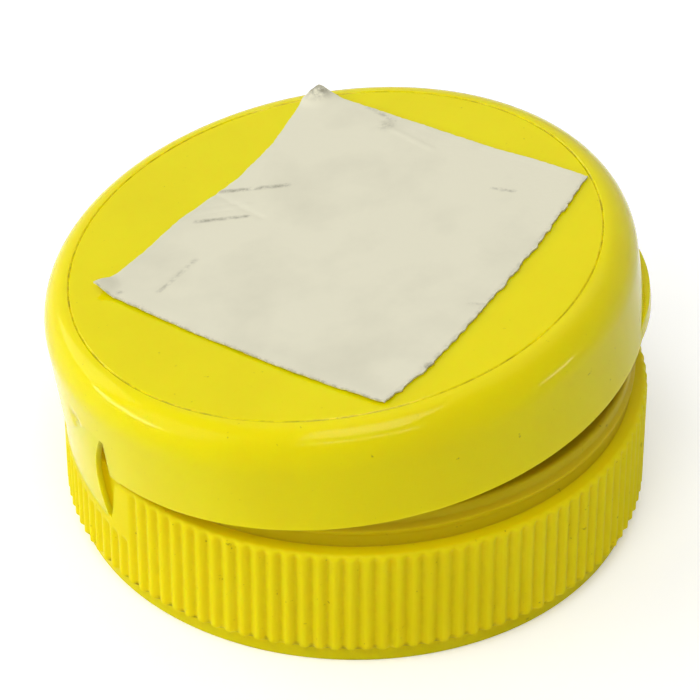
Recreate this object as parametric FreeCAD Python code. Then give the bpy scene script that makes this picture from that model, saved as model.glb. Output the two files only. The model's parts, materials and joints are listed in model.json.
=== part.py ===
import FreeCAD, Part
import math
import os

# A yellow flip top cap for a 38 mm bottle neck, in millimetres.
# The origin is the middle of the ring that the base stands on. +Z is up.
# The hinge is at -X and the thumb lip at +X. The lid is modelled ajar, as the photograph shows it.

V = FreeCAD.Vector

# The bottle neck that the cap fits
neck_thread_d = 37.5
neck_root_d = 35.1
neck_bore_d = 31.9
thread_pitch = 4.233
thread_turns = 1.2
thread_clearance = 0.2
crest_clearance = 0.3
thread_base_width = 1.9
thread_crest_width = 0.8
thread_root_sink = 0.3
mouth_height = 1.2
mouth_gap = 0.15
skirt_draft = 0.05

# The skirt and its ribs
skirt_wall = 1.15
rib_height = 0.6
rib_count = 120
flute_floor_half = 0.13
flute_edge_half = 0.27
band_height = 1.28
band_step = 0.05
ledge_z = 9.75
shoulder_chamfer = 0.4
flute_end_gap = 0.05

# The deck, the pouring hole, the bottle seal and the neck ring
deck_thickness = 1.1
deck_rise = 0.35
hole_r = 4.0
collar_wall = 1.0
collar_height = 1.8
seal_wall = 0.8
seal_length = 2.2
ledge_width = 1.2
ring_wall = 1.2
ring_height = 2.75
bead_height = 0.32
bead_half_width = 0.45
bead_rise = 1.45

# The lid
lid_clearance = 0.28
lid_wall = 0.77
lid_height = 7.65
lid_top_thickness = 1.0
lid_draft = 0.03
rim_width = 2.05
rim_drop = 2.73
rim_tight_r = 1.7
rim_wide_slopes = 2
rim_tight_slopes = 3
hollow_corner = 1.6
lid_forward = 0.2
seat_gap = 0.05
plug_clearance = 0.1
plug_wall = 0.9
plug_engagement = 1.5
plug_taper = 0.35
plug_nose = 0.8
snap_height = 0.6
snap_half_width = 0.35
snap_rise = 0.8
snap_half_angle = 50.0
lip_proud = 0.48
lip_height = 1.1
lip_half_angle = 19.5
lip_chamfer = 0.25
dent_angle = 17.0
dent_height = 2.6
dent_r = 1.1
dent_depth = 0.16

# The snap hinge: its axis, the window in the base and in the lid, and the web between them
rest_angle = 8.45
hinge_stand = 0.25
hinge_drop = 2.15
film_drop = 0.4
film_flat_half = 3.0
film_fall = 1.05
window_foot_half = 10.1
window_splay = 0.45
window_depth = 0.8
pillar_round = 0.6
tongue_half = 1.2
tongue_drop = 2.0
arm_rise = 3.0
arm_half = 8.6
web_thickness = 0.4
web_step = 0.12
web_side_gap = 0.15
web_lid_gap = 0.74
web_bow = 1.1
rib_margin = 1.2
pillar_half_angle = 35.2

# The paper label, as points on the lid's top seen from above, from its left corner round
paper_thickness = 0.12
label_left = (-16.9, 1.15)
label_bottom = (1.13, -17.8)
label_right = (18.1, 2.4)
label_top = (1.05, 18.6)
label_hollow = 0.9

# Radii worked out from the values above
thread_root_r = neck_thread_d / 2 + thread_clearance
thread_crest_r = neck_root_d / 2 + crest_clearance
rib_root_r = thread_root_r + skirt_wall
rib_crest_r = rib_root_r + rib_height
band_r = rib_root_r - band_step
ring_r = rib_crest_r - ledge_width
bead_r = ring_r + bead_height
lid_inner_r = bead_r + lid_clearance
lid_r = lid_inner_r + lid_wall
seal_r = neck_bore_d / 2
recess_r = rib_crest_r - web_thickness - window_depth + web_step
plug_r = hole_r - plug_clearance

# Half widths worked out from the values above
web_half = window_foot_half - web_side_gap
window_half = window_foot_half + window_splay
lid_window_half = web_half + web_lid_gap

# Heights worked out from the values above
thread_start = mouth_height + mouth_gap + thread_base_width / 2
deck_top = ledge_z + deck_rise
deck_bottom = deck_top - deck_thickness
ring_top = ledge_z + ring_height
collar_top = deck_top + collar_height
bead_z = ledge_z + bead_rise
axis_x = -(rib_crest_r + hinge_stand)
axis_z = ledge_z - hinge_drop
film_z = axis_z - film_drop
lid_z = ledge_z + seat_gap

# How far past a surface a cutting tool reaches
reach = 4 * skirt_wall


def face_of(points):
    """A flat face inside straight lines through the points."""
    return Part.Face(Part.makePolygon(points + points[:1]))


def rz(r, z):
    """A point of a section that is turned about Z."""
    return V(r, 0, z)


def lines(points):
    """Straight edges from each point to the next."""
    return [Part.LineSegment(a, b).toShape() for a, b in zip(points[:-1], points[1:])]


def quarter(start, corner, end):
    """A quarter circle from start to end, with its tangents meeting at corner."""
    centre = start + end - corner
    middle = centre + (corner - centre) * math.sqrt(0.5)
    return Part.Arc(start, middle, end).toShape()


def along_arc(centre, first, last, steps):
    """The points that divide an arc about a centre evenly, from just after its first point to its last."""
    spokes = first - centre
    sweep = spokes.getAngle(last - centre)
    normal = spokes.cross(last - centre)
    turns = [FreeCAD.Rotation(normal, math.degrees(sweep * (i + 1) / steps)) for i in range(steps)]
    return [centre + turn.multVec(spokes) for turn in turns]


def long_corner(start, corner, end):
    """Points that round a corner whose sides differ, on a wide arc and then on a tight one."""
    width = (corner - end).Length
    height = (corner - start).Length
    wide_r = (width ** 2 + height ** 2 - 2 * height * rim_tight_r) / (2 * (width - rim_tight_r))
    across = (end - corner).normalize()
    along = (corner - start).normalize()
    wide_centre = start + across * wide_r
    tight_centre = end - along * rim_tight_r
    join = wide_centre + (tight_centre - wide_centre).normalize() * wide_r
    wide = along_arc(wide_centre, start, join, rim_wide_slopes)
    return [start] + wide + along_arc(tight_centre, join, end, rim_tight_slopes)


def drafted(low, high):
    """A solid between two outlines with as many corners, joined by flat walls."""
    walls = [face_of(low), face_of(high)]
    for i in range(len(low)):
        walls.append(face_of([low[i - 1], low[i], high[i], high[i - 1]]))
    return Part.Solid(Part.Shell(walls))


def turned(edges, start_angle=0.0, angle=360.0):
    """The solid that a closed section makes when it turns about Z."""
    face = Part.Face(Part.Wire(edges))
    solid = face.revolve(V(0, 0, 0), V(0, 0, 1), angle)
    if start_angle:
        solid.rotate(V(0, 0, 0), V(0, 0, 1), start_angle)
    return solid


def ring_between(inner_r, outer_r, low, high):
    """A plain ring between two radii and two heights."""
    outer = Part.makeCylinder(outer_r, high - low, V(0, 0, low))
    inner = Part.makeCylinder(inner_r, high - low + 2 * reach, V(0, 0, low - reach))
    return outer.cut(inner)


def hinge_prism(edges):
    """A prism along X through the hinge side of the wall, from edges drawn at x = 0."""
    face = Part.Face(Part.Wire(edges))
    depth = rib_crest_r + reach - recess_r * math.cos(math.asin(lid_window_half / recess_r)) + 1
    face.translate(V(-(rib_crest_r + reach), 0, 0))
    return face.extrude(V(depth, 0, 0))


def film_height(y):
    """Height of the web's lower film line on the base, at a distance y from the hinge's middle."""
    past_flat = max(0.0, abs(y) - film_flat_half)
    return film_z - film_fall * past_flat / (window_foot_half - film_flat_half)


def arm_height(y):
    """Height of the web's upper film line above the lid's edge."""
    slope = (arm_rise + tongue_drop) / (arm_half - tongue_half)
    past_tongue = max(0.0, min(abs(y), arm_half) - tongue_half)
    return slope * past_tongue - tongue_drop


def skirt_section():
    """The section of the base, from its outer foot round to the inside of its mouth."""
    return lines([
        rz(band_r, 0),
        rz(band_r, band_height),
        rz(rib_crest_r, band_height),
        rz(rib_crest_r, ledge_z - shoulder_chamfer),
        rz(rib_crest_r - shoulder_chamfer, ledge_z),
        rz(ring_r, ledge_z),
        rz(ring_r, bead_z - bead_half_width),
        rz(bead_r, bead_z),
        rz(ring_r, bead_z + bead_half_width),
        rz(ring_r, ring_top),
        rz(ring_r - ring_wall, ring_top),
        rz(ring_r - ring_wall, deck_top),
        rz(hole_r + collar_wall, deck_top),
        rz(hole_r + collar_wall, collar_top),
        rz(hole_r, collar_top),
        rz(hole_r, deck_bottom),
        rz(seal_r - seal_wall, deck_bottom),
        rz(seal_r - seal_wall, deck_bottom - seal_length),
        rz(seal_r, deck_bottom - seal_length),
        rz(seal_r, deck_bottom),
        rz(thread_root_r - skirt_draft, deck_bottom),
        rz(thread_root_r, mouth_height),
        rz(thread_root_r, 0),
        rz(band_r, 0),
    ])


def flute_outline(r, half, top):
    """The front outline of a groove at radius r."""
    start = band_height / 2
    return [V(r, -half, start), V(r, half, start), V(r, half, top), V(r, -half, top)]


def flute_tool(top):
    """The space of one groove between two ribs, with drafted sides and a drafted end."""
    draft = flute_edge_half - flute_floor_half
    floor = flute_outline(rib_root_r, flute_floor_half, top - draft)
    outer = flute_outline(rib_crest_r + rib_height, flute_edge_half + draft, top + draft)
    return drafted(floor, outer)


def flute_top(angle):
    """Height at which the groove at an angle from the hinge ends."""
    if angle > pillar_half_angle:
        return ledge_z - shoulder_chamfer - flute_end_gap
    y = min(rib_crest_r * math.sin(math.radians(angle)), window_foot_half)
    return film_height(y) - rib_margin


def flutes():
    """All the grooves, which leave the ribs standing between them."""
    tools = []
    for index in range(rib_count):
        turn = 360.0 * index / rib_count
        from_hinge = min(turn, 360.0 - turn)
        tool = flute_tool(flute_top(from_hinge))
        tool.rotate(V(0, 0, 0), V(0, 0, 1), 180.0 + turn)
        tools.append(tool)
    return Part.makeCompound(tools)


def thread_ridge():
    """The ridge inside the skirt that grips the bottle's thread."""
    height = thread_pitch * thread_turns
    helix = Part.makeHelix(thread_pitch, height, thread_root_r)
    sink_r = thread_root_r + thread_root_sink
    section = Part.makePolygon([
        V(sink_r, 0, -thread_base_width / 2),
        V(thread_crest_r, 0, -thread_crest_width / 2),
        V(thread_crest_r, 0, thread_crest_width / 2),
        V(sink_r, 0, thread_base_width / 2),
        V(sink_r, 0, -thread_base_width / 2),
    ])
    ridge = Part.Wire(helix).makePipeShell([section], True, True)
    ridge.translate(V(0, 0, thread_start))
    return ridge


def base_window():
    """The space in the base's wall behind and around the web."""
    side_low = V(0, window_foot_half, film_height(window_foot_half))
    side_high = V(0, window_half, ledge_z - pillar_round)
    flare_corner = V(0, window_half, ledge_z)
    flare_end = V(0, window_half + pillar_round, ledge_z)
    over = V(0, window_half + pillar_round, ledge_z + reach)
    flat_end = V(0, film_flat_half, film_z)

    def mirrored(point):
        return V(0, -point.y, point.z)

    edges = lines([mirrored(side_high), mirrored(side_low), mirrored(flat_end), flat_end, side_low, side_high])
    edges.append(quarter(side_high, flare_corner, flare_end))
    edges += lines([flare_end, over, mirrored(over), mirrored(flare_end)])
    edges.append(quarter(mirrored(flare_end), mirrored(flare_corner), mirrored(side_high)))
    window = hinge_prism(edges)
    core = Part.makeCylinder(recess_r, ledge_z + 2 * reach)
    return window.cut(core)


def make_base():
    """The base: skirt, ribs, thread, deck and neck ring in one moulding."""
    base = turned(skirt_section())
    base = base.fuse(thread_ridge())
    base = base.cut(base_window())
    return base.cut(flutes())


def lid_section():
    """The section of the lid, from its outer edge over the top and back inside."""
    side_r = lid_r - lid_draft
    disc_r = side_r - rim_width
    inside_top = lid_height - lid_top_thickness
    side_top = rz(side_r, lid_height - rim_drop)
    rim_corner = rz(side_r, lid_height)
    rim_end = rz(disc_r, lid_height)
    rim = long_corner(side_top, rim_corner, rim_end)

    return lines([
        rz(lid_inner_r, 0),
        rz(lid_r, 0),
        *rim,
        rz(0, lid_height),
        rz(0, inside_top),
        rz(lid_inner_r - hollow_corner, inside_top),
        rz(lid_inner_r, inside_top - hollow_corner),
        rz(lid_inner_r, 0),
    ])


def sealing_plug():
    """The ring under the lid that closes the pouring hole, in line with the hole."""
    root = lid_height - lid_top_thickness / 2
    tip = collar_top - plug_engagement - lid_z
    section = lines([
        rz(plug_r - plug_wall, root),
        rz(plug_r - plug_wall, tip),
        rz(plug_r - plug_taper, tip),
        rz(plug_r, tip + plug_nose),
        rz(plug_r, root),
        rz(plug_r - plug_wall, root),
    ])
    plug = turned(section)
    plug.translate(V(-lid_forward, 0, 0))
    return plug


def snap_bead():
    """The bead inside the lid's front wall that snaps under the bead of the neck ring."""
    section = lines([
        rz(lid_inner_r + lid_wall / 3, snap_rise - snap_half_width),
        rz(lid_inner_r, snap_rise - snap_half_width),
        rz(lid_inner_r - snap_height, snap_rise),
        rz(lid_inner_r, snap_rise + snap_half_width),
        rz(lid_inner_r + lid_wall / 3, snap_rise + snap_half_width),
        rz(lid_inner_r + lid_wall / 3, snap_rise - snap_half_width),
    ])
    return turned(section, -snap_half_angle, 2 * snap_half_angle)


def thumb_lip():
    """The crescent at the front edge of the lid that a thumb pushes up."""
    corner_x = lid_r * math.cos(math.radians(lip_half_angle))
    front = lid_r + lip_proud
    shift = (front ** 2 - lid_r ** 2) / (2 * (front - corner_x))
    lip_r = front - shift
    section = lines([
        rz(0, 0),
        rz(lip_r - lip_chamfer, 0),
        rz(lip_r, lip_chamfer),
        rz(lip_r, lip_height - lip_chamfer),
        rz(lip_r - lip_chamfer, lip_height),
        rz(0, lip_height),
        rz(0, 0),
    ])
    disc = turned(section)
    disc.translate(V(shift, 0, 0))
    return disc.cut(Part.makeCylinder(lid_r - lid_wall / 2, lip_height + reach, V(0, 0, -reach / 2)))


def lid_window(side):
    """The opening in the lid's hinge wall beside its tongue, on one side, +1 or -1."""
    outline = [
        V(0, side * tongue_half, -tongue_drop),
        V(0, side * arm_half, arm_rise),
        V(0, side * lid_window_half, arm_rise),
        V(0, side * lid_window_half, -tongue_drop - 1),
        V(0, side * tongue_half, -tongue_drop - 1),
    ]
    prism = hinge_prism(lines(outline + outline[:1]))
    return prism.cut(Part.makeCylinder(lid_inner_r - lid_wall / 2, 2 * reach, V(0, 0, -reach)))


def dent():
    """The small dent beside the hinge that the photograph shows."""
    angle = math.radians(180 + dent_angle)
    sink = lid_r + dent_r - dent_depth
    return Part.makeSphere(dent_r, V(sink * math.cos(angle), sink * math.sin(angle), dent_height))


def to_closed(shape):
    """Moves a shape from the lid's own frame to its closed place on the base."""
    shape.translate(V(lid_forward, 0, lid_z))
    return shape


def ajar(shape):
    """Turns a closed shape about the hinge to the angle of the photograph."""
    shape.rotate(V(axis_x, 0, axis_z), V(0, -1, 0), rest_angle)
    return shape


def make_lid():
    """The lid: shell, hinge tongue, sealing plug, snap bead and thumb lip in one moulding."""
    lid = turned(lid_section())
    tongue = ring_between(lid_inner_r, lid_r, -tongue_drop, lid_wall)
    box = Part.makeBox(lid_r + reach, 2 * arm_half, tongue_drop + reach)
    box.translate(V(-(lid_r + reach), -arm_half, -tongue_drop))
    lid = lid.fuse([tongue.common(box), sealing_plug(), snap_bead(), thumb_lip()])
    lid = lid.cut([lid_window(1), lid_window(-1), dent()])
    return ajar(to_closed(lid.removeSplitter()))


def web_section(y):
    """The web's section in the plane at y: its foot stays on the base, its head on the ajar lid."""
    foot_r = rib_crest_r - web_step
    head_r = lid_r - web_step
    foot_x = -math.sqrt(foot_r ** 2 - y ** 2)
    head_x = lid_forward - math.sqrt(head_r ** 2 - y ** 2)
    foot_z = film_height(y)
    head_z = lid_z + arm_height(y)
    head = ajar(Part.makePolygon([V(head_x, y, head_z), V(head_x + web_thickness, y, head_z)]))
    outer_head = head.Vertexes[0].Point
    inner_head = head.Vertexes[-1].Point
    outer_foot = V(foot_x, y, foot_z)
    inner_foot = V(foot_x + web_thickness, y, foot_z)
    return Part.makePolygon([outer_foot, outer_head, inner_head, inner_foot, outer_foot])


def make_web():
    """The bow-tie web of the snap hinge, narrow in the middle, with a bowed free edge each side."""
    half = [0.0, tongue_half, film_flat_half, (film_flat_half + arm_half) / 2, arm_half, web_half]
    places = [-y for y in reversed(half[1:])] + half
    web = Part.makeLoft([web_section(y) for y in places], True, True)
    low = film_height(web_half)
    high = lid_z + arm_rise
    half_chord = (high - low) / 2
    bow_r = (half_chord ** 2 + web_bow ** 2) / (2 * web_bow)
    for side in (1, -1):
        centre = V(axis_x - reach, side * (web_half - web_bow + bow_r), (high + low) / 2)
        web = web.cut(Part.makeCylinder(bow_r, 2 * reach + window_half, centre, V(1, 0, 0)))
    return web


def make_label():
    """The paper label, a thin sheet with slightly hollow torn edges, stuck on the lid's top."""
    corners = [label_left, label_bottom, label_right, label_top]
    edges = []
    for start, end in zip(corners, corners[1:] + corners[:1]):
        a = V(start[0], start[1], lid_height)
        b = V(end[0], end[1], lid_height)
        inwards = V(a.y - b.y, b.x - a.x, 0).normalize()
        middle = (a + b) * 0.5 + inwards * label_hollow / 2
        edges.append(Part.Arc(a, middle, b).toShape())
    paper = Part.Face(Part.Wire(edges)).extrude(V(0, 0, paper_thickness))
    return ajar(to_closed(paper))


def write(name, shape):
    """Writes one piece as its own file."""
    shape.exportStep(os.path.join("parts", name + ".step"))


os.makedirs("parts", exist_ok=True)
write("cap_base", make_base())
write("flip_lid", make_lid())
write("hinge_web", make_web())
write("paper_label", make_label())
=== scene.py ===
"""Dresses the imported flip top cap: moulded yellow plastic, fine ribs, a snap hinge and a paper label."""

import json
import math

import bmesh
import bpy
from mathutils import Matrix, Vector, noise


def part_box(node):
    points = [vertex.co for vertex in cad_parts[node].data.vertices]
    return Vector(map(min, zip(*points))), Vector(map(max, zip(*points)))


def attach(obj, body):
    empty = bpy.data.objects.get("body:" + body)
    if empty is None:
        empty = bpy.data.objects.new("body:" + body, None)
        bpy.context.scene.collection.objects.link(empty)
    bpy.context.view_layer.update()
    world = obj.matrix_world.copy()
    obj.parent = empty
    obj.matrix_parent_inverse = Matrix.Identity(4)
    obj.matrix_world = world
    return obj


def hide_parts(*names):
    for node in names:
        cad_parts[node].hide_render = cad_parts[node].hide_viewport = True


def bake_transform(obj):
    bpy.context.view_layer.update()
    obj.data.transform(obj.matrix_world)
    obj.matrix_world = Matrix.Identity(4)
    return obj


bl_info = {
    "name": "Flip Top Cap",
    "version": (1, 0, 0),
    "blender": (4, 5, 0),
    "location": "View3D > Sidebar > Flip Top Cap",
    "description": "Dresses a flip top cap with moulded plastic, a snap hinge and a paper label",
    "category": "Add Mesh",
}

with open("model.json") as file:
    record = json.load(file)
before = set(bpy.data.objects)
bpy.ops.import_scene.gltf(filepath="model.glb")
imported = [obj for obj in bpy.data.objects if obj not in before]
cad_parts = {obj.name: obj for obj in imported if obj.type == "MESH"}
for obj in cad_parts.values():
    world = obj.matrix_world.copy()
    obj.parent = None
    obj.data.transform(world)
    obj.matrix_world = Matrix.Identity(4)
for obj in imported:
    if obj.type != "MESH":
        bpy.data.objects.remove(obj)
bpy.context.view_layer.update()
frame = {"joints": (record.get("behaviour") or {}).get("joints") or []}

MM = 0.001
base_low, base_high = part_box("cap_base")
hinge_joint = frame["joints"][0]
hinge_point = Vector(hinge_joint["pos_m"]) / MM
hinge_axis = Vector(hinge_joint["axis"])
rest_angle = -math.radians(hinge_joint["range_deg"][0])


def linear(colour):
    """An sRGB hex colour as linear red, green and blue."""
    channels = [int(colour[i:i + 2], 16) / 255 for i in (1, 3, 5)]
    return [c / 12.92 if c <= 0.04045 else ((c + 0.055) / 1.055) ** 2.4 for c in channels]


# Sizes and colours that a user would change


def length(name, description, default):
    """A length property, with its default in millimetres."""
    return bpy.props.FloatProperty(name=name, description=description, default=default * MM, unit="LENGTH")


def colour(name, description, default):
    """A colour property, with its default in sRGB hex."""
    return bpy.props.FloatVectorProperty(
        name=name, description=description, subtype="COLOR", min=0, max=1, default=linear(default)
    )


class CapBaseSizes(bpy.types.PropertyGroup):
    """Sizes of the ribbed base"""

    rib_crest_r: length("Rib crest radius", "Outer radius over the ribs", (base_high.x - base_low.x) / 2 / MM)
    rib_root_r: length("Rib root radius", "Radius at the floor of the grooves", 20.1)
    band_r: length("Band radius", "Radius of the plain band below the ribs", 20.05)
    band_height: length("Band height", "Height of the plain band", 1.28)
    ledge_z: length("Ledge height", "Height of the ledge that the lid closes on", 9.75)
    skirt_r: length("Skirt radius", "Inner radius of the skirt between the thread's turns", 18.95)
    ring_r: length("Neck ring radius", "Outer radius of the neck ring", 19.5)
    bead_r: length("Bead radius", "Outer radius of the neck ring's bead", 19.82)
    bead_z: length("Bead height", "Height of the neck ring's bead", 11.2)
    ring_inner_r: length("Neck ring inner radius", "Inner radius of the neck ring", 18.3)
    ring_top: length("Neck ring top", "Height of the neck ring's top", base_high.z / MM)
    deck_top: length("Deck height", "Height of the deck's upper side", 10.1)
    deck_bottom: length("Deck underside", "Height of the deck's lower side", 9.0)
    hole_r: length("Hole radius", "Radius of the pouring hole", 4.0)
    collar_r: length("Collar radius", "Outer radius of the collar round the hole", 5.0)
    collar_top: length("Collar top", "Height of the collar's top", 11.9)
    seal_r: length("Seal radius", "Outer radius of the bottle seal", 15.95)
    thread_crest_r: length("Thread crest radius", "Inner radius of the thread's crest", 17.85)
    thread_pitch: length("Thread pitch", "Rise of the thread for each turn", 4.233)
    rib_count: bpy.props.IntProperty(name="Ribs", description="Number of ribs round the skirt", default=120)


class CapLidSizes(bpy.types.PropertyGroup):
    """Sizes of the lid, measured from its closed lower edge"""

    lid_r: length("Lid radius", "Outer radius of the lid's edge", 20.87)
    inner_r: length("Inner radius", "Inner radius of the lid's wall", 20.1)
    draft: length("Draft", "How much narrower the lid's side is at its top", 0.03)
    height: length("Lid height", "Height of the lid's top over its edge", 7.65)
    top_thickness: length("Top thickness", "Thickness of the lid's top", 1.0)
    rim_width: length("Rim width", "Width of the rounded rim, seen from above", 2.05)
    rim_drop: length("Rim drop", "Height of the rounded rim", 2.73)
    forward: length("Forward offset", "Offset of the closed lid away from the hinge", 0.2)
    lift: length("Seat height", "Height of the closed lid's edge", 9.8)
    plug_r: length("Plug radius", "Outer radius of the sealing plug", 3.9)
    plug_wall: length("Plug wall", "Wall of the sealing plug", 0.9)
    plug_tip: length("Plug tip", "Height of the plug's tip over the lid's edge", 0.6)
    lip_proud: length("Lip width", "How far the thumb lip stands out", 0.48)
    lip_height: length("Lip height", "Height of the thumb lip", 1.1)


class CapFinishes(bpy.types.PropertyGroup):
    """Colours of the cap and of the floor"""

    lid_yellow: colour("Lid yellow", "Yellow of the lid", "#ECDD00")
    base_yellow: colour("Base yellow", "Yellow of the base", "#E9D700")
    # This colour also paints shade into the base's grooves and under its rib ends.
    grime_and_shade: colour("Grime", "Dust and handling marks", "#614A18")
    paper: colour("Paper", "Face of the paper label", "#E2DEC6")
    # This colour also paints the shadow along the label's lower left edge.
    paper_dirt_and_shadow_colour: colour("Paper dirt", "Graphite grey dirt in the paper's creases", "#55503C")
    floor: colour("Floor", "Floor under the cap", "#F4F4F2")


class InMillimetres:
    """Reads the lengths of a property group in millimetres."""

    def __init__(self, group):
        self.group = group

    def __getattr__(self, name):
        return getattr(self.group, name) / MM


# Values that the outlines share, in millimetres and degrees

# The ribs, as columns over one pitch with a groove in its middle, and the rounding over them
COARSE_COLUMNS = 240
COLUMN_SHARES = (-0.5, -0.4, -0.3, -0.2, -0.1, 0.0, 0.1, 0.2, 0.3, 0.4)
GROOVE_DEPTH = 0.27
GROOVE_FADE = 0.7
RIB_FOOT = 0.3
RIB_MARGIN = 0.7
PILLAR_HALF_ANGLE = 35.2
SHOULDER_R = 0.4
BEAD_HALF = 0.45

# The thread's ridge inside the skirt
THREAD_TURNS = 1.2
THREAD_START = 2.3
THREAD_STEPS = 96
THREAD_RUN_OUT = 6

# The window in the base's wall and the web's film line on it
FILM_Z = 7.2
FILM_FLAT_HALF = 3.0
FILM_FALL = 1.05
WINDOW_HALF = 10.55
WINDOW_FOOT_HALF = 10.1
WINDOW_ROUND = 0.6
RECESS_R = 19.75
RECESS_RISE = 0.42

# The lid's tongue, its windows and the web's film line on it
TONGUE_HALF = 1.2
TONGUE_DROP = 2.0
ARM_RISE = 3.0
ARM_HALF = 8.6
LID_WINDOW_HALF = 10.69

# The web
WEB_THICKNESS = 0.4
WEB_FOOT_STEP = 0.03
WEB_HEAD_STEP = 0.1
WEB_SIDE_GAP = 0.15
WEB_HEAD_HALF = 10.6
WEB_BOW = 1.15
WEB_GLOW = 0.7

# The dent in the lid's side
DENT_ANGLE = 200.0
DENT_Z = 2.6
DENT_REACH = 1.1
DENT_DEPTH = 0.16

# The label on the lid's top, seen from above: its corners, bends, creases and dirt
PAPER_THICKNESS = 0.12
TEAR_SCALE = 2.2
TORN_EDGE = 0.16
CUT_EDGE = 0.05
LABEL_LEFT = (-16.8, 0.3)
LABEL_BOTTOM = (1.25, -18.2)
LABEL_RIGHT = (18.3, 2.5)
LABEL_TOP = (1.2, 19.0)
LABEL_LOW_LEFT = ((-13.35, -3.6), (-10.2, -7.0), (-7.0, -10.3), (-3.95, -13.4))
LABEL_LOW_RIGHT = ((4.55, -15.3), (7.45, -12.0), (10.4, -8.45), (13.65, -4.3), (17.3, 1.0))
LABEL_TOP_RIGHT = ((2.75, 17.6), (10.1, 10.3), (12.65, 7.75), (15.2, 5.55))
LABEL_TOP_LEFT = ((-15.1, 1.6), (-12.85, 3.7), (-10.45, 6.4), (-5.8, 10.1), (-2.85, 13.7), (-0.15, 18.4))
CREASES = (
    ((-8.2, 9.7), (-4.6, 4.9), -0.05),
    ((-9.3, 7.0), (-5.4, 6.8), 0.05),
    ((8.3, -9.3), (11.2, -10.6), -0.06),
    ((-10.4, 0.8), (-12.2, -0.8), -0.04),
    ((5.0, 13.6), (8.2, 9.2), 0.04),
)
SMUDGES = (
    ((5.4, 13.2), 0.9, 0.35),
    ((4.7, -15.3), 0.8, 0.8),
    ((-15.1, -0.8), 0.35, 0.5),
    ((-13.8, -2.9), 0.3, 0.5),
)
STREAKS = (
    ((-7.7, 9.0), (-2.4, 8.2), 0.32, 0.6),
    ((-9.2, 5.9), (-5.6, 5.4), 0.3, 0.6),
    ((-9.6, 1.4), (-12.4, -1.4), 0.3, 0.4),
    ((11.6, 3.2), (13.1, 2.3), 0.2, 0.55),
    ((8.3, -9.3), (11.2, -10.6), 0.18, 0.3),
    ((4.4, 16.0), (6.0, 13.6), 0.3, 0.4),
)


# Mesh making


def new_object(name, points, faces):
    """A mesh object from points in millimetres in the part's own frame."""
    mesh = bpy.data.meshes.new(name)
    mesh.from_pydata([Vector(p) * MM for p in points], [], faces)
    mesh.validate()
    shell = bmesh.new()
    shell.from_mesh(mesh)
    bmesh.ops.recalc_face_normals(shell, faces=shell.faces)
    shell.to_mesh(mesh)
    shell.free()
    obj = bpy.data.objects.new(name, mesh)
    bpy.context.scene.collection.objects.link(obj)
    return obj


def soften(corners, steps=4):
    """An outline from (r, z, rounding) corners, with each rounded corner as a short curve."""
    outline = []
    for i, (r, z, rounding) in enumerate(corners):
        corner = Vector((r, z))
        if not rounding or i in (0, len(corners) - 1):
            outline.append(tuple(corner))
            continue
        back = Vector(corners[i - 1][:2]) - corner
        ahead = Vector(corners[i + 1][:2]) - corner
        start = corner + back.normalized() * min(rounding, back.length * 0.45)
        end = corner + ahead.normalized() * min(rounding, ahead.length * 0.45)
        for step in range(steps + 1):
            t = step / steps
            outline.append(tuple(start * (1 - t) ** 2 + corner * 2 * t * (1 - t) + end * t ** 2))
    return outline


def ring_points(r, z, angles):
    """The points of a ring of radius r at height z, or its one point on the axis."""
    if r < 1e-6:
        return [(0.0, 0.0, z)]
    return [(r * math.cos(a), r * math.sin(a), z) for a in angles]


def bridge(first, second):
    """Faces between two rings given as (first index, count), also where one is finer or a single point."""
    (a, n), (b, m) = first, second
    if n == m:
        return [(a + i, a + (i + 1) % n, b + (i + 1) % n, b + i) for i in range(n)]
    if n > m:
        fine, rough, fine_n, rough_n = a, b, n, m
    else:
        fine, rough, fine_n, rough_n = b, a, m, n
    faces = []
    share = fine_n // rough_n
    if rough_n == 1:
        faces = [(fine + i, fine + (i + 1) % fine_n, rough) for i in range(fine_n)]
    else:
        for j in range(rough_n):
            edge = [fine + (j * share + k) % fine_n for k in range(share + 1)]
            faces.append(tuple(edge + [rough + (j + 1) % rough_n, rough + j]))
    return faces if n > m else [tuple(reversed(f)) for f in faces]


def turned(name, rings):
    """A closed body through rings of points, the last ring joined to the first where both are open."""
    points = []
    spans = []
    for ring in rings:
        spans.append((len(points), len(ring)))
        points += ring
    faces = []
    for first, second in zip(spans[:-1], spans[1:]):
        faces += bridge(first, second)
    if spans[0][1] > 1:
        faces += bridge(spans[-1], spans[0])
    return new_object(name, points, faces)


def slab(name, front, back):
    """A closed body between two grids of points, given as rows of equal length."""
    rows = len(front)
    columns = len(front[0])
    points = [p for row in front for p in row] + [p for row in back for p in row]
    shift = rows * columns

    def at(row, column):
        return row * columns + column

    faces = []
    for i in range(rows - 1):
        for j in range(columns - 1):
            quad = (at(i, j), at(i, j + 1), at(i + 1, j + 1), at(i + 1, j))
            faces.append(quad)
            faces.append(tuple(shift + k for k in reversed(quad)))
    rim = [at(0, j) for j in range(columns)]
    rim += [at(i, columns - 1) for i in range(1, rows)]
    rim += [at(rows - 1, j) for j in range(columns - 2, -1, -1)]
    rim += [at(i, 0) for i in range(rows - 2, 0, -1)]
    for here, there in zip(rim, rim[1:] + rim[:1]):
        faces.append((here, shift + here, shift + there, there))
    return new_object(name, points, faces)


def swept(name, rows):
    """A closed body through rows of points, each a closed section, with a cap at either end."""
    n = len(rows[0])
    last = (len(rows) - 1) * n
    faces = []
    for i in range(len(rows) - 1):
        for j in range(n):
            k = (j + 1) % n
            faces.append((i * n + j, i * n + k, (i + 1) * n + k, (i + 1) * n + j))
    faces.append(tuple(reversed(range(n))))
    faces.append(tuple(last + j for j in range(n)))
    return new_object(name, [p for row in rows for p in row], faces)


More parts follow.
